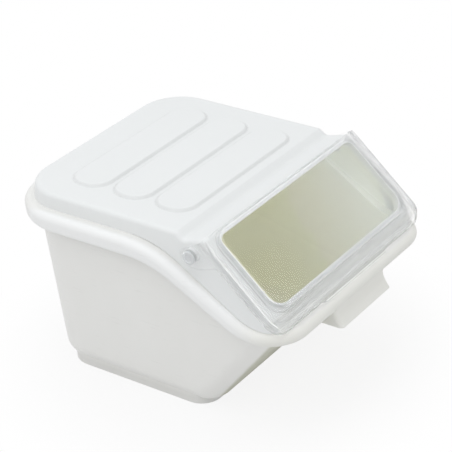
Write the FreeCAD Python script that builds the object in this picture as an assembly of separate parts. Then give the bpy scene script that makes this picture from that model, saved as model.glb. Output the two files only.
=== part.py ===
import FreeCAD, Part
import math
import os

# Shelf bin for rice: a tapered tub with a rolled rim that swoops down to a low
# front, a loose cover with raised pads, and a clear lid that flips up in front.
# Millimetres, +Z up, front towards -Y, width along X, standing on Z = 0.

# ---- driving dimensions -------------------------------------------------
TUB_WALL = 2.8
TUB_SIDE = 114.5            # half width of the tub's outer wall at Z = 0
TUB_BACK = 144.5            # back wall at Z = 0
TUB_FRONT = -52.8           # front wall at Z = 0
DRAFT = 0.088               # side and back walls lean out 5 degrees
FRONT_LEAN = 0.80           # the front wall leans out 39 degrees
BACK_ROUND = 33.4           # back corner radius at Z = 0 ...
BACK_ROUND_GROWTH = 0.104   # ... and how it grows with height
FRONT_ROUND = 27.0
FLOOR_ROUND = 20.0          # inside and outside sweep from wall to floor
FLOOR_LEVEL = 7.0           # underside of the tub above the foot

FOOT_SIDE = 109.6
FOOT_BACK = 137.5
FOOT_FRONT = -50.5
FOOT_BACK_ROUND = 28.0
FOOT_FRONT_ROUND = 22.0

RIM_BACK = 198.3            # top of the rim round the back ...
RIM_FRONT = 133.5           # ... and along the low front
RIM_SLOPE = math.radians(31.3)
RIM_MIDDLE_Y = -68.5        # the sloping stretch passes here ...
RIM_MIDDLE_Z = 166.5        # ... at this height
RIM_CREST_RADIUS = 125.0
RIM_DIP_RADIUS = 52.0
RIM_REACH = 14.3            # how far the roll stands out from the wall
RIM_ROUND = 7.0             # the roll is rounded over above and curls in below
RIM_SLOT = 5.5              # gap between the curled lip and the wall
RIM_DEPTH_BACK = 20.5
RIM_DEPTH_FRONT = 15.5
RIM_SKIN = 2.8

GRIP_HALF = 47.0            # hooded pull under the middle of the front rim
GRIP_BOTTOM = 101.5
GRIP_WALL = 2.6
GRIP_FACE_Y = -167.8
GRIP_FLARE = 7.8            # the face curls out this far ...
GRIP_FLARE_HEIGHT = 12.0    # ... over this height
GRIP_FLARE_ROUND = 18.0
GRIP_ROUND = 4.0
GRIP_ROOT = -110.0          # the cheeks run in to here, inside the roll

COVER_WALL = 2.5
COVER_SIDE = 133.4          # half width where it meets the low front rim
COVER_SIDE_DRAFT = 0.035
COVER_BACK = 162.5          # back wall where it meets the high rim
COVER_BACK_DRAFT = 0.12
COVER_FRONT = -157.6        # front wall where it meets the low front rim
COVER_FRONT_DRAFT = 0.30
COVER_BACK_ROUND = 47.0
COVER_FRONT_ROUND = 20.0
COVER_TOP = 215.2
COVER_EDGE_ROUND = 5.0
COVER_SEAT_GAP = 0.35       # the cover bears on the level rim, clear of the slope
SEAT_CREST_RADIUS = 110.0
SEAT_DIP_RADIUS = 61.0
STEP_Y = -42.0              # soft step from the flat top down to the gutter
GUTTER_Y = -50.5
GUTTER_Z = 209.0
RIDGE_Z = 215.9
STEP_ROUND = 4.0
GUTTER_ROUND = 7.0
RIDGE_ROUND = 8.0
FRAME_DEPTH = 2.3           # the window frame lies this far below the lid's face
WINDOW_HALF = 118.2
WINDOW_START = 4.4          # distances down the slope, as for the lid
WINDOW_END = 92.5
WINDOW_UPPER_ROUND = 8.0
WINDOW_LOWER_ROUND = 16.0
CURB_WALL = 1.8             # curb round the window, nested in the lid's pane
CURB_RISE = 2.5             # above the lid's face
LIP_DEPTH = 4.0             # locating lip that hangs inside the tub
LIP_WALL = 2.4
LIP_CLEARANCE = 1.0

PAD_HALF = 99.0             # three raised pads across the top
PAD_DEPTH = 46.0
PAD_ROUND = 21.0
PAD_HEIGHT = 2.5
PAD_SLOPE = 3.2             # the pads' edges slope in by this much
PAD_EDGE_ROUND = 3.0
PAD_FRONTS = (75.0, 22.2, -30.8)

LID_TILT = 42.4             # degrees; the lid's face falls towards the front
LID_Y = -79.1               # a point of that face, at its upper end
LID_Z = 216.2
LID_WALL = 2.0
LID_HALF = 138.3
LID_REAR = -3.0             # distances down the slope from that point
LID_FOLD = 104.5
LID_FOLD_ROUND = 6.0
LID_NOSE = 117.0
LID_NOSE_TURN = 25.0        # degrees by which the front flap is steeper
LID_SKIRT = 7.4
LID_BOTTOM_Z = 134.5
LID_FRONT_ROUND = 21.0
LID_REAR_ROUND = 5.0
LID_EDGE_ROUND = 3.0
LID_BLOCK = 60.0            # depth of the block that the tray is cut from
PANE_HALF = 122.6           # raised pane
PANE_START = 0.0
PANE_END = 98.1
PANE_RISE = 6.9
PANE_UPPER_ROUND = 12.0
PANE_LOWER_ROUND = 20.0
PANE_EDGE_ROUND = 3.0
TAB_HALF = 63.0             # finger ledge on the lid's lower edge
TAB_TAPER = 7.0
TAB_REACH = 6.0
TAB_WALL = 2.2
TAB_ROUND = 5.0
LID_BOTTOM_EDGE = -159.0    # inner face of the front flap at its lower edge

HINGE_Y = -62.5
HINGE_Z = 197.0
EAR_RADIUS = 11.0
EAR_END = 27.0              # down the slope, where the ear runs into the skirt
EAR_SWEEP = 10.0
EAR_HOLE = 4.4              # radius; turns round the pin's neck
BOSS_RADIUS = 7.5
BOSS_HOLE = 3.2
BOSS_GAP = 0.4              # between the boss and the ear
NECK_RADIUS = 4.0
SHANK_RADIUS = 3.0
BARB_RADIUS = 3.7
HEAD_RADIUS = 6.8
HEAD_THICK = 2.0
HEAD_CHAMFER = 0.8
HEAD_GAP = 0.4
DISH_RADIUS = 4.0
DISH_DEPTH = 1.0
DISH_SLOPE = 0.6
BARB_GAP = 0.4
TAIL_LENGTH = 5.0
TAIL_CHAMFER = 1.2

BEYOND = 260.0              # half length of the long prisms that trim shapes
OVER = 12.0                 # blocks start out this much taller than what is kept
UNDER_RIM = 60.0            # blocks trimmed to the rim start at this height
OVERLAP = 1.0               # parts of one moulding run this far into each other
LEAST_RISE = 0.65           # Z part of the normal from which a face counts as a top


# ---- helpers ------------------------------------------------------------
def rounded_wire(corners, place):
    """Closed wire through corners (a, b, radius), each rounded by a tangent arc."""
    count = len(corners)
    ends = []
    for i in range(count):
        a, b, radius = corners[i]
        before = corners[i - 1]
        after = corners[(i + 1) % count]
        here = FreeCAD.Vector(a, b, 0)
        inward = here - FreeCAD.Vector(before[0], before[1], 0)
        outward = FreeCAD.Vector(after[0], after[1], 0) - here
        inward.normalize()
        outward.normalize()
        turn = inward.getAngle(outward)
        if radius == 0 or turn < 1e-6:
            ends.append((here, None, here))
            continue
        tangent = radius * math.tan(turn / 2)
        start = here - inward * tangent
        finish = here + outward * tangent
        bisector = outward - inward
        bisector.normalize()
        centre = here + bisector * (radius / math.cos(turn / 2))
        ends.append((start, centre - bisector * radius, finish))
    edges = []
    for i in range(count):
        start, middle, finish = ends[i]
        previous = ends[i - 1][2]
        if previous.distanceToPoint(start) > 1e-6:
            edges.append(Part.makeLine(place(previous.x, previous.y), place(start.x, start.y)))
        if middle is not None:
            points = [place(p.x, p.y) for p in (start, middle, finish)]
            edges.append(Part.Arc(*points).toShape())
    return Part.Wire(edges)


def level(z):
    """Placer for outlines drawn in plan at height z."""
    return lambda x, y: FreeCAD.Vector(x, y, z)


def side_prism(corners, half=BEYOND):
    """Solid whose side view is the rounded outline (y, z, radius)."""
    wire = rounded_wire(corners, lambda y, z: FreeCAD.Vector(-half, y, z))
    return Part.Face(wire).extrude(FreeCAD.Vector(2 * half, 0, 0))


def plan_wire(z, side, back, front, back_round, front_round):
    """Symmetrical four-sided outline in plan, with its own back and front corners."""
    corners = [(-side, back, back_round), (side, back, back_round),
               (side, front, front_round), (-side, front, front_round)]
    return rounded_wire(corners, level(z))


def soften(shape, radius, wanted):
    """Fillet the edges that the test `wanted` accepts."""
    edges = [edge for edge in shape.Edges if wanted(edge)]
    return shape.makeFillet(radius, edges)


def tapered(lower, upper):
    """Ruled loft between two plan outlines, its flat sides made true planes."""
    faces = []
    for face in Part.makeLoft([lower, upper], True, True).Faces:
        plane = face.findPlane(1e-4)
        faces.append(Part.Face(plane, face.OuterWire) if plane else face)
    shell = Part.makeShell(faces)
    shell.sewShape()
    return Part.makeSolid(shell)


def turned_to_x(radius, length, x, y, z):
    """Cylinder that starts at (x, y, z) and runs along +X."""
    return Part.makeCylinder(radius, length, FreeCAD.Vector(x, y, z), FreeCAD.Vector(1, 0, 0))


def mirrored(shape):
    return shape.mirror(FreeCAD.Vector(0, 0, 0), FreeCAD.Vector(1, 0, 0))


# ---- tub ----------------------------------------------------------------
def tub_ring(z, grow):
    """Plan outline of the tub at height z, moved outwards by grow."""
    lean = math.hypot(1, FRONT_LEAN)
    return plan_wire(z, TUB_SIDE + DRAFT * z + grow, TUB_BACK + DRAFT * z + grow,
                     TUB_FRONT - FRONT_LEAN * z - lean * grow,
                     BACK_ROUND + BACK_ROUND_GROWTH * z + grow, FRONT_ROUND + grow)


def tub_block(grow, bottom, top):
    return tapered(tub_ring(bottom, grow), tub_ring(top, grow))


def foot_block(grow, bottom, top):
    wire = plan_wire(bottom, FOOT_SIDE + grow, FOOT_BACK + grow, FOOT_FRONT - grow,
                     FOOT_BACK_ROUND + grow, FOOT_FRONT_ROUND + grow)
    return Part.Face(wire).extrude(FreeCAD.Vector(0, 0, top - bottom))


def on_level(z):
    return lambda edge: abs(edge.BoundBox.ZMin - z) < 1e-4 and abs(edge.BoundBox.ZMax - z) < 1e-4


def vessel(grow, floor):
    """Tub with its swept floor and stepped foot, as a full block."""
    bottom = FLOOR_LEVEL + floor
    body = tub_block(grow, bottom, RIM_BACK + OVER)
    body = soften(body, FLOOR_ROUND + grow, on_level(bottom))
    return body.fuse(foot_block(grow, floor, FLOOR_LEVEL + FLOOR_ROUND / 2))


def rim_line(drop_back, drop_front, drop_slope, crest, dip):
    """The rim's side view from back to front, lowered by the given drops."""
    back = RIM_BACK - drop_back
    front = RIM_FRONT - drop_front
    slope = math.tan(RIM_SLOPE)
    middle = RIM_MIDDLE_Z - drop_slope
    upper_y = RIM_MIDDLE_Y + (back - middle) / slope
    lower_y = RIM_MIDDLE_Y - (middle - front) / slope
    return [(BEYOND, back, 0), (upper_y, back, crest), (lower_y, front, dip), (-BEYOND, front, 0)]


def rim_top(drop=0.0):
    """Top of the rim, or the same line `drop` inside its skin."""
    return rim_line(drop, drop, drop / math.cos(RIM_SLOPE), RIM_CREST_RADIUS - drop,
                    RIM_DIP_RADIUS + drop)


def rim_seat(rise):
    """Underside of the cover: level where it bears, clear of the slope between."""
    return rim_line(-rise, -rise, -COVER_SEAT_GAP - rise / math.cos(RIM_SLOPE),
                    SEAT_CREST_RADIUS + rise, SEAT_DIP_RADIUS - rise)


def rim_low(rise=0.0):
    """Lower edge of the rim's roll, deeper round the back than in front."""
    depth = (RIM_DEPTH_BACK + RIM_DEPTH_FRONT) / 2 - rise
    return rim_line(RIM_DEPTH_BACK - rise, RIM_DEPTH_FRONT - rise, depth / math.cos(RIM_SLOPE),
                    RIM_CREST_RADIUS - depth, RIM_DIP_RADIUS + depth)


def below(line):
    return side_prism(line + [(-BEYOND, -BEYOND, 0), (BEYOND, -BEYOND, 0)])


def above(line):
    return side_prism(line + [(-BEYOND, 2 * BEYOND, 0), (BEYOND, 2 * BEYOND, 0)])


def roll_block(skin):
    """The rim's roll, shrunk by `skin`: rounded over above, curled in below."""
    block = tub_block(RIM_REACH - skin, UNDER_RIM, RIM_BACK + OVER)
    block = block.common(below(rim_top(skin))).common(above(rim_low(skin)))
    edges = [edge for edge in block.Edges if borders_ruled(edge, block)]
    return block.makeFillet(RIM_ROUND - skin, edges)


def borders_ruled(edge, body):
    """True for an edge between a face ruled across the width and one that is not."""
    faces = body.ancestorsOfType(edge, Part.Face)
    flags = [is_ruled_across(face) for face in faces]
    return len(faces) == 2 and flags[0] != flags[1]


def is_ruled_across(face):
    """True for floor-like faces whose normal has no X part, such as the rim's top."""
    u0, u1, v0, v1 = face.ParameterRange
    normal = face.normalAt((u0 + u1) / 2, (v0 + v1) / 2)
    return abs(normal.x) < 1e-6 and abs(normal.z) > LEAST_RISE


def grip_block(shrink, top):
    """Hood of the pull: flat cheeks and a face that flares towards its lip."""
    face_y = GRIP_FACE_Y + shrink
    low = GRIP_BOTTOM - (OVER if shrink > 0 else 0)
    kink = GRIP_BOTTOM + GRIP_FLARE_HEIGHT
    flare = GRIP_FLARE * (kink - low) / GRIP_FLARE_HEIGHT
    outline = [(face_y, top, 0), (face_y, kink, GRIP_FLARE_ROUND), (face_y - flare, low, 0),
               (GRIP_ROOT, low, 0), (GRIP_ROOT, top, 0)]
    block = side_prism(outline, GRIP_HALF - shrink)
    corner = [edge for edge in block.Edges
              if edge.BoundBox.YMax < GRIP_ROOT - 1 and edge.BoundBox.XLength < 1e-3]
    return block.makeFillet(GRIP_ROUND - shrink / 2, corner)


def make_bin():
    """One moulding: tub and foot, the curled rim that follows its swoop, and the pull."""
    whole = vessel(0, 0)
    hollow = vessel(-TUB_WALL, TUB_WALL)
    shell = whole.common(below(rim_top()))

    roll = roll_block(0).fuse(grip_block(0, RIM_FRONT - RIM_ROUND))
    slot = tub_block(RIM_SLOT, UNDER_RIM, RIM_BACK + OVER)
    slot = slot.common(below(rim_low(RIM_SKIN + OVERLAP)))
    inside = roll_block(RIM_SKIN).fuse([slot, grip_block(GRIP_WALL, RIM_FRONT - RIM_SKIN)])
    skirt = roll.cut(inside.cut(whole))
    return shell.fuse(skirt).cut(hollow).removeSplitter()


# ---- cover --------------------------------------------------------------
def cover_ring(z, grow):
    """Plan outline of the cover at height z, moved outwards by grow."""
    side = COVER_SIDE - COVER_SIDE_DRAFT * (z - RIM_FRONT)
    back = COVER_BACK - COVER_BACK_DRAFT * (z - RIM_BACK)
    front = COVER_FRONT + COVER_FRONT_DRAFT * (z - RIM_FRONT)
    return plan_wire(z, side + grow, back + grow, front - grow,
                     COVER_BACK_ROUND + grow, COVER_FRONT_ROUND + grow)


def lid_frame(shape):
    """Put a shape drawn on the lid's face (Y up the slope, Z off it) in place."""
    shape = shape.copy()
    shape.rotate(FreeCAD.Vector(0, 0, 0), FreeCAD.Vector(1, 0, 0), LID_TILT)
    shape.translate(FreeCAD.Vector(0, LID_Y, LID_Z))
    return shape


def on_slope(down, off):
    """Side view position of a point `down` the lid's slope and `off` its face."""
    tilt = math.radians(LID_TILT)
    return (LID_Y - down * math.cos(tilt) - off * math.sin(tilt),
            LID_Z - down * math.sin(tilt) + off * math.cos(tilt))


def cover_skyline(drop):
    """Side view of the cover's outside: flat top, gutter, ridge, window slope."""
    top_y, top_z = on_slope(0, -FRAME_DEPTH - drop)
    end_y, end_z = on_slope(BEYOND, -FRAME_DEPTH - drop)
    slope = (end_z - top_z) / (end_y - top_y)
    ridge_z = RIDGE_Z - drop
    ridge_y = top_y + (ridge_z - top_z) / slope
    return [(BEYOND, COVER_TOP - drop, 0),
            (STEP_Y + drop / 2, COVER_TOP - drop, STEP_ROUND - drop),
            (GUTTER_Y + drop / 2, GUTTER_Z - drop, GUTTER_ROUND + drop),
            (ridge_y, ridge_z, RIDGE_ROUND - drop), (end_y, end_z, 0)]


def cover_block(grow, bottom):
    """Outside (or inside) of the cover as a full block above Z = bottom."""
    body = tapered(cover_ring(bottom, grow), cover_ring(COVER_TOP + OVER, grow))
    body = body.common(below(cover_skyline(-grow)))
    top = [edge for edge in body.Edges
           if borders_ruled(edge, body) and edge.BoundBox.ZMax > bottom + 1]
    return body.makeFillet(COVER_EDGE_ROUND + grow, top)


def pad_solid(front):
    """One raised pad with soft sloping edges, its round ends as deep as the pad."""
    rings = []
    for z, grow in ((COVER_TOP - OVERLAP, PAD_SLOPE / 2), (COVER_TOP + PAD_HEIGHT, -PAD_SLOPE / 2)):
        rings.append(plan_wire(z, PAD_HALF + grow, front + PAD_DEPTH + grow, front - grow,
                               PAD_ROUND + grow, PAD_ROUND + grow))
    return soften(tapered(*rings), PAD_EDGE_ROUND, on_level(COVER_TOP + PAD_HEIGHT))


def slope_prism(half, start, end, upper_round, lower_round, low, high):
    """Rounded rectangle on the lid's slope, from `low` to `high` off its face."""
    corners = [(-half, -start, upper_round), (half, -start, upper_round),
               (half, -end, lower_round), (-half, -end, lower_round)]
    face = Part.Face(rounded_wire(corners, level(low)))
    return face.extrude(FreeCAD.Vector(0, 0, high - low))


def bearing_flange(outside):
    """Flange that bears on the rim, with the short lip that locates it in the tub."""
    clear = TUB_WALL + LIP_CLEARANCE
    flange = outside.common(above(rim_seat(0))).common(below(rim_seat(COVER_WALL)))
    lip = tub_block(-clear, UNDER_RIM, RIM_BACK + OVER)
    lip = lip.common(above(rim_seat(-LIP_DEPTH))).common(below(rim_seat(COVER_WALL / 2)))
    return flange.fuse(lip).cut(tub_block(-clear - LIP_WALL, UNDER_RIM, RIM_BACK + OVER))


def wall_inside_at_hinge():
    """X of the inner face of the cover's side wall at the height of the hinge."""
    return COVER_SIDE - COVER_SIDE_DRAFT * (HINGE_Z - RIM_FRONT) - COVER_WALL


def hinge_boss(radius, overlap):
    """Cylinder on the hinge axis, from the cover's wall to the ear, plus overlap."""
    inner = wall_inside_at_hinge()
    outer = LID_HALF - LID_WALL - BOSS_GAP
    return turned_to_x(radius, outer - inner + 2 * overlap, inner - overlap, HINGE_Y, HINGE_Z)


def window_prism(grow, low, high):
    """The window's outline on the slope, or its curb's when grown by the curb's wall."""
    return slope_prism(WINDOW_HALF + grow, WINDOW_START - grow, WINDOW_END + grow,
                       WINDOW_UPPER_ROUND + grow, WINDOW_LOWER_ROUND + grow, low, high)


def make_cover():
    """Loose cover: moulded shell, bearing flange, pads, hinge bosses, window and curb."""
    outside = cover_block(0, RIM_FRONT - OVER)
    inside = cover_block(-COVER_WALL, RIM_FRONT - OVER)
    shell = outside.common(above(rim_seat(0))).cut(inside)
    shell = shell.fuse(bearing_flange(outside))
    for front in PAD_FRONTS:
        shell = shell.fuse(pad_solid(front))
    boss = hinge_boss(BOSS_RADIUS, 0)
    bore = hinge_boss(BOSS_HOLE, OVERLAP)
    shell = shell.fuse([boss, mirrored(boss)]).cut([bore, mirrored(bore)])
    curb = window_prism(CURB_WALL, -FRAME_DEPTH - COVER_WALL, CURB_RISE)
    window = window_prism(0, -FRAME_DEPTH - OVER, OVER)
    return shell.fuse(lid_frame(curb)).cut(lid_frame(window)).removeSplitter()


# ---- lid ----------------------------------------------------------------
def lid_tray(shrink):
    """Block under the lid's face with its steeper front flap."""
    turn = math.radians(LID_NOSE_TURN)
    fold = LID_FOLD - shrink * math.tan(turn / 2)
    nose = fold + (LID_BLOCK - shrink) / math.tan(turn)
    rear = LID_REAR - (OVER if shrink > 0 else 0)
    side = [(-rear, -shrink, 0), (-fold, -shrink, LID_FOLD_ROUND - shrink),
            (-nose, -LID_BLOCK, 0), (-rear, -LID_BLOCK, 0)]
    plan = slope_prism(LID_HALF - shrink, rear, LID_NOSE - shrink, LID_REAR_ROUND,
                       LID_FRONT_ROUND - shrink, -LID_BLOCK, OVERLAP)
    block = side_prism(side).common(plan)
    edges = [edge for edge in block.Edges
             if borders_ruled(edge, block) and edge.BoundBox.ZMax > -LID_FOLD_ROUND]
    return block.makeFillet(LID_EDGE_ROUND - shrink, edges)


def pane_block(shrink):
    """Raised pane of the lid as a full block, or its hollow when shrunk by the wall."""
    top = PANE_RISE - shrink
    block = slope_prism(PANE_HALF - shrink, PANE_START + shrink, PANE_END - shrink,
                        PANE_UPPER_ROUND - shrink, PANE_LOWER_ROUND - shrink,
                        -LID_WALL - OVERLAP, top)
    return soften(block, PANE_EDGE_ROUND - shrink, on_level(top))


def ear_plate():
    """Side view of one ear: from the skirt back and down round the pivot."""
    r = EAR_RADIUS
    upper_rear = on_slope(LID_REAR + OVERLAP, -LID_EDGE_ROUND / 2)
    lower_front = on_slope(EAR_END, -LID_SKIRT)
    upper_front = on_slope(EAR_END, -LID_EDGE_ROUND)
    outline = [(*upper_rear, OVERLAP), (HINGE_Y + r, HINGE_Z + r / 2, r / 2),
               (HINGE_Y + r, HINGE_Z - r, 0.98 * r), (HINGE_Y - r, HINGE_Z - r, r),
               (*lower_front, EAR_SWEEP), (*upper_front, 0)]
    inner = LID_HALF - LID_WALL
    wire = rounded_wire(outline, lambda y, z: FreeCAD.Vector(inner, y, z))
    plate = Part.Face(wire).extrude(FreeCAD.Vector(LID_WALL, 0, 0))
    hole = turned_to_x(EAR_HOLE, LID_WALL + 2 * OVERLAP, inner - OVERLAP, HINGE_Y, HINGE_Z)
    return plate, hole


def finger_ledge():
    """Thin ledge along the middle of the lid's lower edge, ends tapered."""
    root = LID_BOTTOM_EDGE
    reach = TAB_REACH
    outline = [(-TAB_HALF, root, 0), (-TAB_HALF + TAB_TAPER, root - reach, TAB_ROUND),
               (TAB_HALF - TAB_TAPER, root - reach, TAB_ROUND), (TAB_HALF, root, 0)]
    face = Part.Face(rounded_wire(outline, level(LID_BOTTOM_Z)))
    return face.extrude(FreeCAD.Vector(0, 0, TAB_WALL))


def all_under(z):
    """Box that removes everything below height z."""
    corner = FreeCAD.Vector(-BEYOND, -BEYOND, z - BEYOND)
    return Part.makeBox(2 * BEYOND, 2 * BEYOND, BEYOND, corner)


def make_lid():
    """Clear lid: tray with a folded flap, raised pane, finger ledge and two ears."""
    outer = lid_tray(0).fuse(pane_block(0))
    inner = lid_tray(LID_WALL).fuse(pane_block(LID_WALL))
    shell = outer.cut(inner).cut(all_under(-LID_SKIRT))
    shell = lid_frame(shell).cut(all_under(LID_BOTTOM_Z)).fuse(finger_ledge())
    plate, hole = ear_plate()
    shell = shell.fuse([plate, mirrored(plate)]).cut([hole, mirrored(hole)])
    return shell.removeSplitter()


# ---- pins ---------------------------------------------------------------
def make_pin():
    """Snap stud: dished head outside the ear, neck in the ear, barb inside."""
    head = LID_HALF + HEAD_GAP
    crown = head + HEAD_THICK
    shoulder = LID_HALF - LID_WALL - BOSS_GAP
    barb = wall_inside_at_hinge() - BARB_GAP
    tail = barb - TAIL_LENGTH
    profile = [(tail, 0), (tail, SHANK_RADIUS - TAIL_CHAMFER), (barb, BARB_RADIUS),
               (barb, SHANK_RADIUS), (shoulder, SHANK_RADIUS), (shoulder, NECK_RADIUS),
               (head, NECK_RADIUS), (head, HEAD_RADIUS), (crown - HEAD_CHAMFER, HEAD_RADIUS),
               (crown, HEAD_RADIUS - HEAD_CHAMFER), (crown, DISH_RADIUS + DISH_SLOPE),
               (crown - DISH_DEPTH, DISH_RADIUS), (crown - DISH_DEPTH, 0), (tail, 0)]
    points = [FreeCAD.Vector(x, HINGE_Y, HINGE_Z + radius) for x, radius in profile]
    face = Part.Face(Part.makePolygon(points))
    return face.revolve(FreeCAD.Vector(0, HINGE_Y, HINGE_Z), FreeCAD.Vector(1, 0, 0), 360)


if __name__ == "__main__":
    os.makedirs("parts", exist_ok=True)
    pin = make_pin()
    pieces = {
        "bin": make_bin(),
        "cover": make_cover(),
        "flip_lid": make_lid(),
        "hinge_pin_right": pin,
        "hinge_pin_left": mirrored(pin),
    }
    for name, shape in pieces.items():
        print(name, shape.isValid(), len(shape.Solids), "solid", len(shape.Faces), "faces")
        shape.exportStep("parts/%s.step" % name)
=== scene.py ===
# %% [markdown]
# # A shelf bin for rice, dressed in Blender
#
# The packed solids already hold the bin's true shape: a tapered tub with a rolled rim, a cover that is
# moulded to it, a clear lid that flips up and two hinge studs. This notebook loads them as a fixed
# frame, gives every moulding its plastic, and sets a plain studio round them. It works in metres, with
# Z up and the front towards -Y.

# %% Load the frame
import math
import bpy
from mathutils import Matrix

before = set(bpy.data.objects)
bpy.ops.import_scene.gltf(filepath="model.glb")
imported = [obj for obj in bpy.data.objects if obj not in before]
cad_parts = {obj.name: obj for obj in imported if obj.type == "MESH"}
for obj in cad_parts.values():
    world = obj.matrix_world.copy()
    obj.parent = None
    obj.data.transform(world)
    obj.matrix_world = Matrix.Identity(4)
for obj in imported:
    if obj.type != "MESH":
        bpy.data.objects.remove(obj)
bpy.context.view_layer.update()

from types import SimpleNamespace

import bpy
import numpy as np
from mathutils import Matrix, Vector

# %% [markdown]
# ## Shader maths as Python
#
# A finish is a formula: how dirty, how rough or how green each point of the surface is. It could be
# wired by hand, one Math node at a time, but then nobody can read it. `Field` wraps one output socket
# and overloads the operators, so `1 - mask * 0.5` adds the nodes that work it out.

# %% A value that varies over a surface
class Field:
    """One output socket that can be added, multiplied and compared like a number."""

    def __init__(self, wiring, socket):
        self.wiring = wiring
        self.socket = socket

    def maths(self, operation, *values):
        node = self.wiring.node("ShaderNodeMath", {"operation": operation}, dict(enumerate(values)))
        return Field(self.wiring, node.outputs[0])

    def __add__(self, other):
        return self.maths("ADD", self, other)

    __radd__ = __add__

    def __sub__(self, other):
        return self.maths("SUBTRACT", self, other)

    def __rsub__(self, other):
        return self.maths("SUBTRACT", other, self)

    def __mul__(self, other):
        return self.maths("MULTIPLY", self, other)

    __rmul__ = __mul__

    def __pow__(self, other):
        return self.maths("POWER", self, other)

    def __gt__(self, other):
        return self.maths("GREATER_THAN", self, other)

    def __lt__(self, other):
        return self.maths("LESS_THAN", self, other)

    def __abs__(self):
        return self.maths("ABSOLUTE", self)

    def lower(self, other):
        return self.maths("MINIMUM", self, other)

    def upper(self, other):
        return self.maths("MAXIMUM", self, other)

    def between(self, start, end):
        """0 below start, 1 above end, and a smooth rise from one to the other."""
        node = self.wiring.node("ShaderNodeMapRange", {"interpolation_type": "SMOOTHSTEP"},
                                {"Value": self, "From Min": start, "From Max": end})
        return Field(self.wiring, node.outputs[0])

print("methods of a Field:", [name for name, part in vars(Field).items() if callable(part)])

# %% [markdown]
# ## One way to add a node
#
# Materials and worlds both own a node tree, and both are filled in the same way: add a node, choose its
# settings, then give its sockets values or links. Written out, that takes several lines for each node,
# and the numbers that matter get lost among them. One method does all of it, so below a node is one
# call.

# %% A node tree
class Wiring:
    """The node tree of a material or a world, cleared and then filled through one method."""

    def __init__(self, owner):
        owner.use_nodes = True
        self.tree = owner.node_tree
        self.tree.nodes.clear()

    def node(self, kind, settings=None, inputs=None):
        """Adds a node: its settings first, then the values and links of its sockets."""
        node = self.tree.nodes.new(kind)
        for name, value in (settings or {}).items():
            setattr(node, name, value)
        for name, value in (inputs or {}).items():
            if isinstance(value, Field):
                value = value.socket
            if isinstance(value, bpy.types.NodeSocket):
                self.tree.links.new(value, node.inputs[name])
            else:
                node.inputs[name].default_value = value
        return node

    def seen_plainly(self):
        """1 for rays from the camera, off a mirror or through glass, 0 for light on its way."""
        path = self.node("ShaderNodeLightPath")
        rays = [Field(self, path.outputs[name])
                for name in ("Is Camera Ray", "Is Glossy Ray", "Is Transmission Ray")]
        return rays[0].upper(rays[1]).upper(rays[2])

print("one method adds every node:", Wiring.node.__doc__)

# %% [markdown]
# ## Patterns with real sizes
#
# Clouding, scratches and dust have real sizes, so their patterns are measured in metres like the shapes.
# Object coordinates are a point's place in its own mesh. Each moulding's mesh is already where it
# belongs on the bin, so they are also its place in the frame, and they stay on the piece when its joint
# turns it. A UV map would have to be unwrapped first, and its seams would cut the clouding.

# %% A finish
class Finish(Wiring):
    """A material that ends in one Principled shader, with patterns in object coordinates."""

    def __init__(self, name):
        self.material = bpy.data.materials.new(name)
        super().__init__(self.material)
        coordinates = self.node("ShaderNodeTexCoord")
        self.place = coordinates.outputs["Object"]
        self.facing = coordinates.outputs["Normal"]

    def axes(self):
        """X, Y and Z of the point as Fields."""
        node = self.node("ShaderNodeSeparateXYZ", None, {0: self.place})
        return [Field(self, output) for output in node.outputs]

    def noise(self, size, detail=2.0, stretch=(1.0, 1.0, 1.0)):
        """Cloudy pattern whose blobs are `size` metres across, stretched along the axes."""
        scale = tuple(1.0 / (size * part) for part in stretch)
        mapped = self.node("ShaderNodeMapping", None, {"Vector": self.place, "Scale": scale})
        node = self.node("ShaderNodeTexNoise", None,
                         {"Vector": mapped.outputs[0], "Scale": 1.0, "Detail": detail})
        return Field(self, node.outputs[0])

    def glance(self, spread):
        """0 where the surface faces the eye, 1 where it is seen edge on."""
        node = self.node("ShaderNodeLayerWeight", None, {"Blend": spread})
        return Field(self, node.outputs["Facing"])

    def blend(self, mask, low, high):
        """A colour that goes from low to high as the mask goes from 0 to 1."""
        low, high = ((*part, 1.0) if isinstance(part, tuple) else part for part in (low, high))
        node = self.node("ShaderNodeMix", {"data_type": "RGBA"}, {0: mask, 6: low, 7: high})
        return node.outputs[2]

    def bump(self, height, distance, strength):
        """A normal tilted by a height pattern that is `distance` metres deep."""
        inputs = {"Height": height, "Distance": distance, "Strength": strength}
        return self.node("ShaderNodeBump", None, inputs).outputs[0]

    def surface(self, inputs):
        """Closes the tree with the Principled shader and gives back the material."""
        shader = self.node("ShaderNodeBsdfPrincipled", None, inputs)
        self.node("ShaderNodeOutputMaterial", None, {"Surface": shader.outputs[0]})
        print(self.material.name, "has", len(self.tree.nodes), "nodes")
        return self.material

print("methods of a Finish:", [name for name, part in vars(Finish).items() if callable(part)])

# %% [markdown]
# ## Colours
#
# Paint values are easier to judge as they look on a screen, but Cycles works with linear light. A small
# helper undoes the screen's curve, so that every colour below can be written as three numbers from 0 to
# 255.

# %% Screen values to linear light
def screen(red, green, blue):
    """Screen colour 0-255 to linear 0-1: a straight start, then a 2.4 power."""
    values = np.array([red, green, blue]) / 255
    linear = np.where(values <= 0.04045, values / 12.92, ((values + 0.055) / 1.055) ** 2.4)
    return tuple(float(v) for v in linear)

print("mid grey is", np.round(screen(128, 128, 128), 3))
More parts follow.
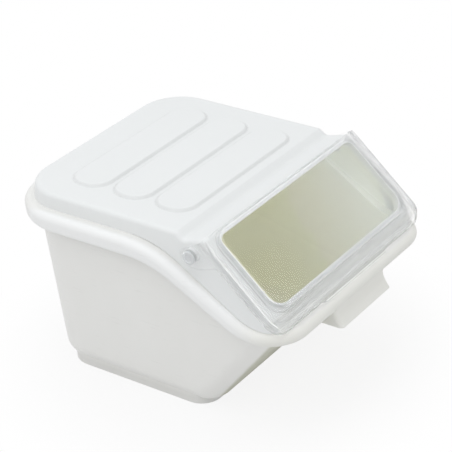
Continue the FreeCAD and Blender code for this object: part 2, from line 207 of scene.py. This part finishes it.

# %% [markdown]
# ## Where a point of the tub is
#
# The tub is one moulding, but its inside is painted olive with the light that soaks through its walls,
# and its rolled rim is painted a little whiter than its walls, as painted light on its top. Separate
# materials would need separate faces. Masks worked out from the point's place do the same and follow
# the shape exactly: seen from above, the tub is a rounded rectangle that grows with height, so the
# distance from that outline tells wall, rim and inside apart.

# %% Distance from a rounded rectangle
def outline_distance(across, along, half_across, half_along, corner):
    """Root of the squares of what lies past the corner's centre, less the corner's radius."""
    past_across = (abs(across) - (half_across - corner)).upper(0.0)
    past_along = (abs(along) - (half_along - corner)).upper(0.0)
    return (past_across ** 2.0 + past_along ** 2.0) ** 0.5 - corner

print(outline_distance.__doc__)

# %% The tub's outline at each height
TUB_SIDE, TUB_BACK, TUB_FRONT = 0.1145, 0.1445, -0.0528      # its outer walls at the foot
TUB_DRAFT, TUB_LEAN = 0.088, 0.80                            # how far they lean out with height
TUB_CORNER, TUB_TOP = 0.030, 0.1983

def outside_tub(finish):
    """Distance from the tub's outer wall: above 0 on the rim, the grip and nowhere else."""
    x, y, z = finish.axes()
    side = z * TUB_DRAFT + TUB_SIDE
    back = z * TUB_DRAFT + TUB_BACK
    front = TUB_FRONT - z * TUB_LEAN
    along = y - (back + front) * 0.5
    return outline_distance(x, along, side, (back - front) * 0.5, TUB_CORNER)

print("the tub is", round(2 * (TUB_SIDE + TUB_TOP * TUB_DRAFT), 3), "m wide at its top, less the rim")

# %% Which way the surface faces
TUB_MIDDLE = (0.0, 0.035, 0.11)          # a point that the inner skin faces

def facing_along(finish, direction):
    """Dot product of the surface's normal and a direction."""
    node = finish.node("ShaderNodeVectorMath", {"operation": "DOT_PRODUCT"},
                       {0: direction, 1: finish.facing})
    return Field(finish, node.outputs["Value"])

def faces(finish, middle):
    """1 where the surface's normal points back towards a middle point."""
    outward = finish.node("ShaderNodeVectorMath", {"operation": "SUBTRACT"},
                          {0: finish.place, 1: middle})
    return facing_along(finish, outward.outputs[0]) < 0.0

print("the tub's inner skin faces", TUB_MIDDLE)

# %% [markdown]
# ## Light inside the walls
#
# Natural plastic this thick lets daylight soak through, so the inside of a closed bin is not dark: it
# glows, warm and a little green. Subsurface scattering could work that out, but slowly and with noise.
# A weak emission on the inner skin gives the same look: olive deep inside, where the light has come the
# furthest, and paler towards the mouth. The tones meet at planes that lean back like the lid, a little
# more steeply.

# %% The glow of the inner skin
SOAKED_DEEP = (0.106, 0.106, 0.078)
SOAKED_MIDDLE = (0.142, 0.134, 0.138)
SOAKED_PALE = (0.160, 0.168, 0.196)
DARK = (0.0, 0.0, 0.0)
GLOW_LEAN, GLOW_HEIGHT = 0.79, 0.131     # the planes' slope, and where the first one crosses Y = 0
GLOW_WAVE, GLOW_WAVE_SIZE = 0.06, 0.03
MIDDLE_TONE, PALE_TONE = (-0.010, 0.002), (0.00, 0.13)       # where each tone comes in
FOOT_STEP, FOOT_STEP_BLUR = 0.011, 0.003                     # the sunk floor ends at this height

def soaked_light(finish):
    """Three tones, parted by wavering planes that lean back, and a lighter sunk floor."""
    y, z = finish.axes()[1:]
    wave = (finish.noise(GLOW_WAVE_SIZE) - 0.5) * GLOW_WAVE
    forward = (z - GLOW_HEIGHT) * GLOW_LEAN - y + wave
    sunk = (1.0 - z.between(FOOT_STEP - FOOT_STEP_BLUR, FOOT_STEP + FOOT_STEP_BLUR)) * 0.6
    deep = finish.blend(forward.between(*MIDDLE_TONE).upper(sunk), SOAKED_DEEP, SOAKED_MIDDLE)
    return finish.blend(forward.between(*PALE_TONE), deep, SOAKED_PALE)

print("glow from", SOAKED_DEEP, "to", SOAKED_PALE)

# %% [markdown]
# ## The tub's plastic
#
# The tub is natural polyethylene: off-white, satin, faintly cloudy where the melt cooled unevenly, with
# a very fine orange peel. Large soft noise makes the clouding and small noise the peel. The bin slides
# on shelves and floors, so level scuffs gather low on its walls: noise that is stretched sideways and
# cut off high makes a few thin ones. The front wall, which leans over and faces down, is made matt and
# gets painted shade, a little grey, and the foot gets painted shade too.

# %% Where the tub is worn and painted with shade
FRONT_WALL = (0.0, -0.78, -0.62)         # the way the leaning front wall faces
FRONT_SHADE_RANGE = (0.88, 0.98)                    # how squarely a wall has to face that way to be made matt and get painted shade
SCUFF_SIZE, SCUFF_STRETCH, SCUFF_CUT, SCUFF_TOP = 0.0016, (14.0, 14.0, 1.0), (0.66, 0.74), 0.03
# painted shade on the foot, from the floor up between these heights
FOOT_SHADE_START, FOOT_SHADE_TOP = 0.006, 0.013

def tub_wear(finish, cloud, outside):
    """Scuffs that thin out with height, painted shade on the foot, and painted shade on the front wall.
    """
    z = finish.axes()[2]
    scratches = finish.noise(SCUFF_SIZE, stretch=SCUFF_STRETCH).between(*SCUFF_CUT)
    scuffs = (1.0 - z.between(0.0, SCUFF_TOP)).upper(0.25) * scratches * outside
    foot_shade = (1.0 - z.between(FOOT_SHADE_START, FOOT_SHADE_TOP)) * (0.15 + cloud * 0.3) * outside
    # painted shade on the leaning front wall, which is also made matt
    matt_shaded_front = facing_along(finish, FRONT_WALL).between(*FRONT_SHADE_RANGE) * outside
    return scuffs, foot_shade, matt_shaded_front

print("scuffs thin out up to", SCUFF_TOP, "m, grime up to", FOOT_SHADE_TOP, "m")

# %% The tub's colours
TUB_WHITE, TUB_CLOUD = screen(235, 235, 233), screen(230, 230, 227)
# painted light on the roll's top, and painted shade on the grip's front face
RIM_LIT_WHITE, GRIP_SHADE_WHITE = screen(238, 239, 239), screen(230, 230, 225)
INSIDE_LIGHT_OLIVE, INSIDE_LIGHT_PALE = screen(216, 216, 190), screen(222, 224, 208)
# a grey for the scuffs and for the foot's painted shade, and the front wall's painted shade
SCUFF_AND_SHADE_GREY, FRONT_SHADE_GREY = screen(196, 196, 192), screen(200, 200, 186)
RIM_START, RIM_END = 0.003, 0.009        # how far past the wall its white turns into the roll's
GRIP_START, GRIP_LENGTH = -0.10, 0.05    # where the grip's painted shade starts on the roll, and over what length
# the inside is painted with light: olive deep in, turning pale towards the front between these
INSIDE_START, INSIDE_LENGTH, INSIDE_WAVE = 0.05, 0.16, 0.03
FLOW_SIZE, FLOW_STRETCH = 0.02, (1.0, 1.0, 4.0)              # the melt ran up the walls

def tub_colour(finish, cloud, inside, matt_shaded_front):
    """Clouded walls; painted light on the roll, olive painted light inside; painted shade at grip and
    front.
    """
    y = finish.axes()[1]
    flow = finish.noise(FLOW_SIZE, stretch=FLOW_STRETCH)
    walls = finish.blend(cloud * 0.7 + flow * 0.3, TUB_WHITE, TUB_CLOUD)
    walls = finish.blend(matt_shaded_front, walls, FRONT_SHADE_GREY)
    # the roll is painted whiter with light and turns to painted shade at the grip
    roll = finish.blend((GRIP_START - y).between(0.0, GRIP_LENGTH), RIM_LIT_WHITE, GRIP_SHADE_WHITE)
    outer = finish.blend(outside_tub(finish).between(RIM_START, RIM_END), walls, roll)
    # painted light inside: olive deep in, paler towards the front
    front = (INSIDE_START - y + cloud * INSIDE_WAVE).between(0.0, INSIDE_LENGTH)
    return finish.blend(inside, outer, finish.blend(front, INSIDE_LIGHT_OLIVE, INSIDE_LIGHT_PALE))

print("walls", np.round(TUB_WHITE, 3), "roll", np.round(RIM_LIT_WHITE, 3))

# %% The tub's polyethylene
INNER_SKIN = 0.001                       # walls and inside lie no further out than this
CLOUD_SIZE, PEEL_SIZE, FINE_PEEL_SIZE, PEEL_DEPTH = 0.09, 0.0022, 0.0005, 0.0001

def tub_plastic():
    """Satin white outside with scuffs and painted shade on front wall and foot; the glow on the skin
    inside.
    """
    finish = Finish("tub_polyethylene")
    inside = (outside_tub(finish) < INNER_SKIN) * faces(finish, TUB_MIDDLE)
    cloud = finish.noise(CLOUD_SIZE, detail=3.0)
    scuffs, foot_shade, matt_shaded_front = tub_wear(finish, cloud, 1.0 - inside)
    colour = tub_colour(finish, cloud, inside, matt_shaded_front)
    # scuffs, and painted shade on the foot
    colour = finish.blend((scuffs * 0.5).upper(foot_shade), colour, SCUFF_AND_SHADE_GREY)
    fine_peel = finish.noise(FINE_PEEL_SIZE, detail=1.0)
    peel = finish.noise(PEEL_SIZE, detail=1.0) * 0.7 + fine_peel * 0.3
    return finish.surface({"Base Color": colour, "IOR": 1.51, "Specular IOR Level": 0.4,
                           "Roughness": 0.38 + cloud * 0.08 + scuffs * 0.15 + matt_shaded_front * 0.35,
                           "Normal": finish.bump(peel - scuffs * 0.6, PEEL_DEPTH, 0.6),
                           "Emission Color": finish.blend(inside, DARK, soaked_light(finish)),
                           "Emission Strength": 1.0})

tub_polyethylene = tub_plastic()

# %% [markdown]
# ## Where a point of the cover and the lid is
#
# The cover needs the same split into inside and outside. Its walls lean in with height and its front is
# cut off by a slope, on which the lid lies. That slope is worth a frame of its own: distance down it
# and distance off it. The cover's mask uses the second, and the lid's lines will use both.

# %% The lid's own frame
LID_TILT = math.radians(42.4)
LID_Y, LID_Z = -0.0791, 0.2162           # the upper end of the lid's sloping face

def lid_frame(finish):
    """Distance across, down the lid's slope and off its face, with the point's own Y and Z."""
    x, y, z = finish.axes()
    ahead, below = LID_Y - y, LID_Z - z
    down = ahead * math.cos(LID_TILT) + below * math.sin(LID_TILT)
    off = ahead * math.sin(LID_TILT) - below * math.cos(LID_TILT)
    return SimpleNamespace(across=x, down=down, off=off, y=y, z=z)

print("the slope falls", round(math.tan(LID_TILT), 3), "m in each metre")

# %% Inside the cover
COVER_SIDE, COVER_BACK, COVER_FRONT, COVER_CORNER = 0.1381, 0.1863, -0.1977, 0.045
COVER_SIDE_DRAFT, COVER_BACK_DRAFT, COVER_FRONT_DRAFT = 0.035, 0.12, 0.30
COVER_SKIN, FRAME_SKIN = 0.0012, 0.0036  # depth of the middle of the walls, and of the window frame
COVER_MIDDLE = (0.0, 0.020, 0.06)        # a point that the roof's inner skin faces
COVER_LOW = 0.195                        # below this height the walls' own test is enough

def inside_cover(finish):
    """1 past the middle of the cover's walls and slope, and under its roof and its valley."""
    x, y, z = finish.axes()
    off = lid_frame(finish).off
    side = COVER_SIDE - z * COVER_SIDE_DRAFT
    back = COVER_BACK - z * COVER_BACK_DRAFT
    front = COVER_FRONT + z * COVER_FRONT_DRAFT
    wall = outline_distance(x, y - (back + front) * 0.5, side, (back - front) * 0.5, COVER_CORNER)
    low = z < COVER_LOW
    return (wall < -COVER_SKIN) * (off < -FRAME_SKIN) * low.upper(faces(finish, COVER_MIDDLE))

print("the cover is", round(2 * (COVER_SIDE - COVER_LOW * COVER_SIDE_DRAFT), 3), "m wide near its top")

# %% [markdown]
# ## The cover's plastic
#
# The cover is a second moulding in a cooler white. It is thinner and its steel mould was polished, so
# it is a little glossier. Hands wear hairlines across it. The crease at the foot of each raised pad gets
# painted shade, a little grey and rougher. The crease could be painted by hand; the distance from the
# pad's outline, which is a long rounded rectangle, finds it everywhere at once.

# %% Painted shade round the pads
PAD_HALF, PAD_DEPTH, PAD_ROUND = 0.099, 0.046, 0.021
PAD_MIDDLES = (0.0980, 0.0452, -0.0078)
COVER_TOP, NEAR_TOP = 0.2152, 0.002
CREASE_SHADE_CORE, CREASE_SHADE_REACH = 0.0008, 0.0030   # the painted shade is full up to the first and gone at the second

def pad_crease_shade(finish):
    """1 in a thin line round each pad's outline, on the flat top only."""
    x, y, z = finish.axes()
    line = None
    for middle in PAD_MIDDLES:
        away = abs(outline_distance(x, y - middle, PAD_HALF, PAD_DEPTH / 2, PAD_ROUND))
        ring = 1.0 - away.between(CREASE_SHADE_CORE, CREASE_SHADE_REACH)
        line = ring if line is None else line.upper(ring)
    return line * (z > COVER_TOP - NEAR_TOP)

print("pads", len(PAD_MIDDLES), "each", 2 * PAD_HALF, "by", PAD_DEPTH, "m")

# %% The cover's white plastic
COVER_WHITE, COVER_CLOUD = screen(231, 233, 233), screen(226, 228, 228)
CREASE_SHADE_GREY = screen(206, 207, 206)
COVER_CLOUD_SIZE, COVER_PEEL_SIZE, COVER_PEEL_DEPTH = 0.12, 0.003, 0.00008
HAIRLINE_SIZE, HAIRLINE_STRETCH, HAIRLINE_CUT = 0.0011, (18.0, 1.0, 1.0), (0.68, 0.76)

def cover_plastic():
    """Cool white with hairlines along X and painted shade in the creases; its inner skin glows too."""
    finish = Finish("cover_white_plastic")
    cloud = finish.noise(COVER_CLOUD_SIZE, detail=3.0)
    hairlines = finish.noise(HAIRLINE_SIZE, stretch=HAIRLINE_STRETCH).between(*HAIRLINE_CUT)
    inside = inside_cover(finish)
    # painted shade in the creases round the pads, which also roughens them
    crease_shade = pad_crease_shade(finish) * (0.15 + cloud * 0.3) * (1.0 - inside)
    clean = finish.blend(cloud * 0.8 + hairlines * 0.2, COVER_WHITE, COVER_CLOUD)
    outer = finish.blend(crease_shade, clean, CREASE_SHADE_GREY)
    relief = finish.noise(COVER_PEEL_SIZE, detail=1.0) - hairlines * 0.5
    # the cover's inner skin is painted with the pale light of the tub's inside
    return finish.surface({"Base Color": finish.blend(inside, outer, INSIDE_LIGHT_PALE),
                           "Roughness": 0.34 + cloud * 0.08 + hairlines * 0.12 + crease_shade * 0.2,
                           "Normal": finish.bump(relief, COVER_PEEL_DEPTH, 0.5), "IOR": 1.49,
                           "Emission Color": finish.blend(inside, DARK, SOAKED_PALE),
                           "Emission Strength": 1.0})

cover_white = cover_plastic()

# %% [markdown]
# ## The lid's lines
#
# What makes a clear moulding readable are its lines: folds gather light and look pale, while cut edges
# and the foot of a raised part look grey. Both are painted into the sheet, the pale lines as painted
# highlights and the grey ones as painted shade. Each could be a thin strip of mesh with a material of
# its own, but nothing would keep such strips on the folds. In the lid's own frame a fold lies at a fixed
# distance from an outline, so a line is a soft stripe at that distance. The left fold gets the palest
# painted highlight, and the right edge is painted greyer, as painted shade.

# %% Outlines on the lid
TRAY_HALF, TRAY_MIDDLE, TRAY_LENGTH, TRAY_ROUND = 0.1383, 0.0570, 0.1200, 0.021
PANE_HALF, PANE_LENGTH, PANE_ROUND = 0.1226, 0.0981, 0.016
RIGHT_START, RIGHT_END = 0.10, 0.13

def lid_place(finish):
    """The lid's frame, with the distance from its own outline and from the raised pane's."""
    place = lid_frame(finish)
    along_tray, along_pane = place.down - TRAY_MIDDLE, place.down - PANE_LENGTH / 2
    place.edge = outline_distance(place.across, along_tray, TRAY_HALF, TRAY_LENGTH / 2, TRAY_ROUND)
    place.pane = outline_distance(place.across, along_pane, PANE_HALF, PANE_LENGTH / 2, PANE_ROUND)
    return place

def stripe(distance, middle, half):
    """1 near `middle`, with a soft edge that is half way down at `half` from it."""
    return 1.0 - abs(distance - middle).between(half * 0.6, half * 1.4)

def on_right(across):
    """0 over most of the lid, rising to 1 along its right edge, which is painted greyer with shade."""
    return across.between(RIGHT_START, RIGHT_END)

print("the lid is", 2 * TRAY_HALF, "m wide and its pane", 2 * PANE_HALF, "m")

# %% The lid's pale lines: painted highlights
FOLD_LINE, NOSE_LINE, PANE_LINE = (-0.0034, 0.0009), (0.1045, 0.0009), (-0.0012, 0.0009)
ON_FACE, ON_PANE = -0.0010, 0.0052       # heights off the slope
FADE_IN = (0.004, 0.012)                 # down the slope, past the ears' roots
NOSE_END = -0.004                        # the nose stops this far inside the lid's outline
LEDGE_FRONT = -0.1641                    # the finger ledge lies in front of this

def highlight_lines(place):
    """Painted highlights on the folds of the lid's left edge, its nose and its pane, and the finger
    ledge.
    """
    fold = stripe(place.edge, *FOLD_LINE) * (place.off > ON_FACE) * place.down.between(*FADE_IN)
    nose = stripe(place.down, *NOSE_LINE) * (place.edge < NOSE_END)
    pane_fold = stripe(place.pane, *PANE_LINE) * (place.off > ON_PANE)
    ledge = place.y < LEDGE_FRONT
    pale = (fold * (1.0 - on_right(place.across))).upper(nose * 0.1)
    return pale.upper(pane_fold * 0.9).upper(ledge * 0.7)

print("pale lines are about", 2000 * FOLD_LINE[1], "mm wide")

# %% The lid's grey lines: painted shade
SIDE_LINE, FOOT_LINE = (-0.0008, 0.0012), (0.0007, 0.0007)
SKIRT_DEPTH, CUT_WIDTH = 0.0074, 0.0010
FOLD_DEPTH, PANE_FOOT = -0.0026, 0.0010  # heights off the slope
EAR_END, BORDER_END = 0.029, 0.1         # down the slope
FLAP_BOTTOM, CUT_HEIGHT = 0.1345, 0.0011

def shade_lines(place):
    """Painted shade on the outer fold, the foot of the pane and the cut edges of the skirts and the
    flap.
    """
    side = stripe(place.edge, *SIDE_LINE) * (place.off > FOLD_DEPTH)
    side = side * (0.3 + 0.6 * place.down.between(*FADE_IN))
    foot = stripe(place.pane, *FOOT_LINE) * (place.off < PANE_FOOT)
    cut_side = stripe(place.off, -SKIRT_DEPTH, CUT_WIDTH)
    cut_side = cut_side * (place.down > EAR_END) * (place.down < BORDER_END)
    ledge = place.y < LEDGE_FRONT
    cut_front = (place.z < FLAP_BOTTOM + CUT_HEIGHT) * (1.0 - ledge)
    return side.upper(foot * 0.5).upper(cut_side * 0.7).upper(cut_front * 0.35)

print("the skirts hang", SKIRT_DEPTH, "m below the slope, the flap ends", FLAP_BOTTOM, "m up")

# %% The lid's shades
OUTER_SKIN, TRAY_FOLD, PANE_EDGE = -0.0010, -0.0028, 0.0020
SKIRT_TOP, SKIRT_SLACK = -0.0020, 0.0005
BROW_START, BROW_END = (0.0985, 0.1005), (0.106, 0.111)
WALL_MIDDLE, WALL_HALF, WALL_FOOT, WALL_TOP = 0.0, 0.0026, 0.0008, 0.0060

def lid_shades(place):
    """The skirts, the border round the pane and the brow over the flap, greyer than the pane."""
    right = on_right(place.across)
    skirt = (place.edge > OUTER_SKIN) * (place.off < SKIRT_TOP)
    skirt = skirt * (place.off > -SKIRT_DEPTH - SKIRT_SLACK) * (0.50 + right * 0.50)
    border = (place.pane > PANE_EDGE) * (place.edge < TRAY_FOLD) * (place.down < BORDER_END)
    border = border * (0.10 + right * 0.45)
    brow = place.down.between(*BROW_START) * (1.0 - place.down.between(*BROW_END)) * 0.38
    return skirt.upper(border).upper(brow)

def pane_wall(place):
    """1 on the low wall by which the pane stands above the slope, which light fills."""
    wall = stripe(place.pane, WALL_MIDDLE, WALL_HALF)
    return wall * (place.off > WALL_FOOT) * (place.off < WALL_TOP)

print("the pane's wall rises from", WALL_FOOT, "to", WALL_TOP, "m off the slope")

# %% [markdown]
# ## The lid's clear plastic
#
# The lid is a thin clear sheet. Real refraction at both skins of every wall would need many bounces and
# would darken what lies behind, so the sheet is made mostly see-through instead: little of it shows
# where it is looked at squarely, and more at a glance, as with any window. Sheet seen edge on looks
# grey. Fine level drag marks make the flap a little cloudier than the pane.

# %% The lid's clear plastic
LID_CLEAR, LID_EDGE = screen(249, 251, 250), screen(186, 189, 190)
# the grey of the painted shade lines
SHADE_LINE_GREY, FLAP_TONE = screen(176, 178, 181), screen(236, 237, 220)
# the painted highlights glow faintly
HIGHLIGHT_GLOW = (0.36, 0.36, 0.355)
HAZE_SIZE, HAZE_DEPTH = 0.05, 0.0002
SCRATCH_SIZE, SCRATCH_STRETCH, SCRATCH_CUT = 0.0012, (12.0, 1.0, 1.0), (0.68, 0.78)
DRAG_SIZE, DRAG_STRETCH, DRAG_CUT = 0.0016, (90.0, 1.0, 1.0), (0.35, 0.70)
FLAP_START = (0.095, 0.101)              # down the slope

def lid_plastic():
    """See-through sheet, greyer edge on, painted highlights and shade on its folds, drag marks on its
    flap.
    """
    finish = Finish("lid_clear_plastic")
    place = lid_place(finish)
    haze = finish.noise(HAZE_SIZE, detail=3.0)
    scratches = finish.noise(SCRATCH_SIZE, stretch=SCRATCH_STRETCH).between(*SCRATCH_CUT)
    drag = finish.noise(DRAG_SIZE, stretch=DRAG_STRETCH).between(*DRAG_CUT)
    drag = drag * place.down.between(*FLAP_START)
    pale = highlight_lines(place)
    grey = shade_lines(place).upper(lid_shades(place))
    edge_on = finish.glance(0.35) ** 2.0 * (1.0 - pale) * (1.0 - pane_wall(place) * 0.45)
    sheet = finish.blend(edge_on, LID_CLEAR, LID_EDGE)
    sheet = finish.blend(drag, sheet, FLAP_TONE)
    sheet = finish.blend(grey * (1.0 - pale), sheet, SHADE_LINE_GREY)
    alpha = 0.05 + edge_on * 0.70 + pale * 0.40 + grey * 0.50 + drag * 0.16
    return finish.surface({"Base Color": sheet, "Roughness": 0.03 + haze * 0.04 + scratches * 0.10,
                           "Normal": finish.bump(haze + drag, HAZE_DEPTH, 0.15), "IOR": 1.46,
                           "Transmission Weight": 1.0, "Alpha": alpha.lower(1.0),
                           "Emission Color": finish.blend(pale, DARK, HIGHLIGHT_GLOW),
                           "Emission Strength": 1.0})

lid_clear = lid_plastic()

# %% [markdown]
# ## The studs' plastic
#
# The two hinge studs are small glossy buttons of the same clear family, but milky. They are so small
# that only their sheen and the dish in their heads show, so a short pattern of clouding is enough.

# %% The studs' milky plastic
STUD_WHITE, STUD_CLOUD = screen(238, 240, 241), screen(226, 229, 231)
STUD_CLOUD_SIZE, STUD_RELIEF = 0.004, 0.0001

def stud_plastic():
    """Milky gloss that lets some of what is behind it through."""
    finish = Finish("stud_gloss_plastic")
    cloud = finish.noise(STUD_CLOUD_SIZE)
    return finish.surface({"Base Color": finish.blend(cloud, STUD_WHITE, STUD_CLOUD),
                           "Roughness": 0.15 + cloud * 0.1, "IOR": 1.49,
                           "Normal": finish.bump(cloud, STUD_RELIEF, 0.4),
                           "Alpha": 0.6 + finish.glance(0.4) * 0.35})

stud_gloss = stud_plastic()

# %% [markdown]
# ## Dressing the mouldings
#
# The packed solids keep their meshes. Only the material in their slots changes, so every edge and hole
# stays exactly where the solid model has it.

# %% Put each finish on its moulding
finishes = {"bin": tub_polyethylene, "cover": cover_white, "flip_lid": lid_clear,
            "hinge_pin_left": stud_gloss, "hinge_pin_right": stud_gloss}
for name, material in finishes.items():
    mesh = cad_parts[name].data
    mesh.materials.clear()
    mesh.materials.append(material)
    print(name, len(mesh.polygons), "faces", material.name)

# %% [markdown]
# ## The sky and the background
#
# A studio with white walls lights an object from everywhere. An even sky does that. If the sky were as
# bright as the background should look, pale plastic would burn out, so the background is a second
# shader that only shows to rays that look at it plainly: from the camera, off a gloss or through glass.

# %% Sky and background
SKY_STRENGTH = 0.78
WHITE = (1.0, 1.0, 1.0, 1.0)

world = bpy.data.worlds.new("studio")
bpy.context.scene.world = world
wiring = Wiring(world)
sky = wiring.node("ShaderNodeBackground", None, {"Color": WHITE, "Strength": SKY_STRENGTH})
backdrop = wiring.node("ShaderNodeBackground", None, {"Color": WHITE, "Strength": 1.0})
either = wiring.node("ShaderNodeMixShader", None,
                     {0: wiring.seen_plainly(), 1: sky.outputs[0], 2: backdrop.outputs[0]})
wiring.node("ShaderNodeOutputWorld", None, {"Surface": either.outputs[0]})
print("sky strength", SKY_STRENGTH)

# %% [markdown]
# ## The floor
#
# The bin stands on a sheet of white paper. Plain white emission would hide its shadow, and plain paper
# would look grey, so the floor is a mix: mostly white where it is looked at, with enough real paper
# near the bin to keep a soft shadow that fades out further away.

# %% A grid for the floor
FLOOR_HALF, FLOOR_POINTS, FLOOR_DROP = 1.6, 9, 0.0002

def floor_grid():
    """Points at equal steps of two parameters, x = u and y = v, a hair below the foot."""
    step = np.linspace(-FLOOR_HALF, FLOOR_HALF, FLOOR_POINTS)
    x, y = np.meshgrid(step, step, indexing="ij")
    points = np.stack([x, y, np.full_like(x, -FLOOR_DROP)], axis=-1).reshape(-1, 3)
    rows = np.arange(FLOOR_POINTS ** 2).reshape(FLOOR_POINTS, FLOOR_POINTS)
    quads = np.stack([rows[:-1, :-1], rows[1:, :-1], rows[1:, 1:], rows[:-1, 1:]], axis=-1)
    mesh = bpy.data.meshes.new("floor")
    mesh.from_pydata(points.tolist(), [], quads.reshape(-1, 4).tolist())
    return mesh

print("the floor is", 2 * FLOOR_HALF, "m square, with", FLOOR_POINTS, "points along each side")

# %% The floor's paper
PAPER = (0.78, 0.78, 0.78, 1.0)
SHADOW_NEAR, SHADOW_FAR = 0.15, 0.29
NEAR_WHITE = 0.86                        # share of plain white beside the bin; it is 1 far away

def floor_paper():
    """Paper that reads as white to the eye, more so the further it is from the bin."""
    finish = Finish("floor_paper")
    x, y = finish.axes()[:2]
    far = ((x ** 2.0 + y ** 2.0) ** 0.5).between(SHADOW_NEAR, SHADOW_FAR)
    paper = finish.node("ShaderNodeBsdfDiffuse", None, {"Color": PAPER})
    white = finish.node("ShaderNodeEmission", None, {"Color": WHITE, "Strength": 1.0})
    mix = finish.node("ShaderNodeMixShader", None,
                      {0: finish.seen_plainly() * (NEAR_WHITE + far * (1 - NEAR_WHITE)),
                       1: paper.outputs[0], 2: white.outputs[0]})
    finish.node("ShaderNodeOutputMaterial", None, {"Surface": mix.outputs[0]})
    return finish.material

print("the shadow fades out from", SHADOW_NEAR, "to", SHADOW_FAR, "m from the middle")

# %% Lay the floor
floor = bpy.data.objects.new("floor", floor_grid())
floor.data.materials.append(floor_paper())
bpy.context.scene.collection.objects.link(floor)
print("floor", len(floor.data.polygons), "faces")

# %% [markdown]
# ## The lamps
#
# Three broad lamps shape the bin on top of the even sky. One overhead, slightly cool, lifts the cover.
# One high at the left models the long side and the roll. A weaker one, lower and in front, opens the
# mouth and the flap. All three are weak, so that the highest white on the cover stays just under the
# top of the scale.

# %% Lamps
LAMP_AIM = Vector((0.0, 0.0, 0.1))

def soft_lamp(name, place, size, power, colour=(1.0, 1.0, 1.0)):
    """A square area lamp at `place` that looks at the middle of the bin."""
    data = bpy.data.lights.new(name, "AREA")
    data.shape, data.size, data.energy, data.color = "SQUARE", size, power, colour
    lamp = bpy.data.objects.new(name, data)
    lamp.location = place
    lamp.rotation_euler = (LAMP_AIM - Vector(place)).to_track_quat("-Z", "Y").to_euler()
    bpy.context.scene.collection.objects.link(lamp)
    print(name, power, "W at", place)

soft_lamp("overhead", place=(0.1, 0.4, 1.8), size=2.0, power=4.6, colour=(0.88, 0.94, 1.0))
soft_lamp("side", place=(-0.9, 0.2, 1.6), size=1.4, power=5.7)
soft_lamp("front", place=(-0.6, -1.3, 0.9), size=1.0, power=1.5)

# %% [markdown]
# ## The camera
#
# A long lens, well back, looks down on the bin from its front left corner. Azimuth is measured from
# straight ahead, elevation above the horizon, and the small roll tips the picture. The camera's three
# axes are worked out from those angles, which is easier to check than a rotation by hand.

# %% Camera
AZIMUTH, ELEVATION, ROLL = map(math.radians, (-53.3, 29.1, -3.5))
FOCAL_PIXELS, PICTURE_PIXELS, SENSOR_MM = 1731.0, 452.0, 36.0
AIM_RIGHT, AIM_UP, DISTANCE = -0.0034, 0.1278, 1.8761

def corner_camera():
    """Looks along -back; right and up span the picture and are turned by the roll."""
    back = Vector((math.sin(AZIMUTH) * math.cos(ELEVATION),
                   -math.cos(AZIMUTH) * math.cos(ELEVATION), math.sin(ELEVATION)))
    level = Vector((0, 0, 1)).cross(back).normalized()
    rise = back.cross(level)
    right = level * math.cos(ROLL) + rise * math.sin(ROLL)
    up = rise * math.cos(ROLL) - level * math.sin(ROLL)
    place = right * AIM_RIGHT + up * AIM_UP + back * DISTANCE
    data = bpy.data.cameras.new("camera")
    data.sensor_width = SENSOR_MM
    data.lens = SENSOR_MM * FOCAL_PIXELS / PICTURE_PIXELS
    camera = bpy.data.objects.new("camera", data)
    axes = Matrix((right, up, back)).transposed().to_4x4()
    camera.matrix_world = Matrix.Translation(place) @ axes
    bpy.context.scene.collection.objects.link(camera)
    bpy.context.scene.camera = camera
    return camera

camera = corner_camera()
bpy.context.scene.view_settings.view_transform = "Standard"
print("camera at", np.round(camera.matrix_world.translation, 4), "lens", round(camera.data.lens, 2))

# %% [markdown]
# ## The end
#
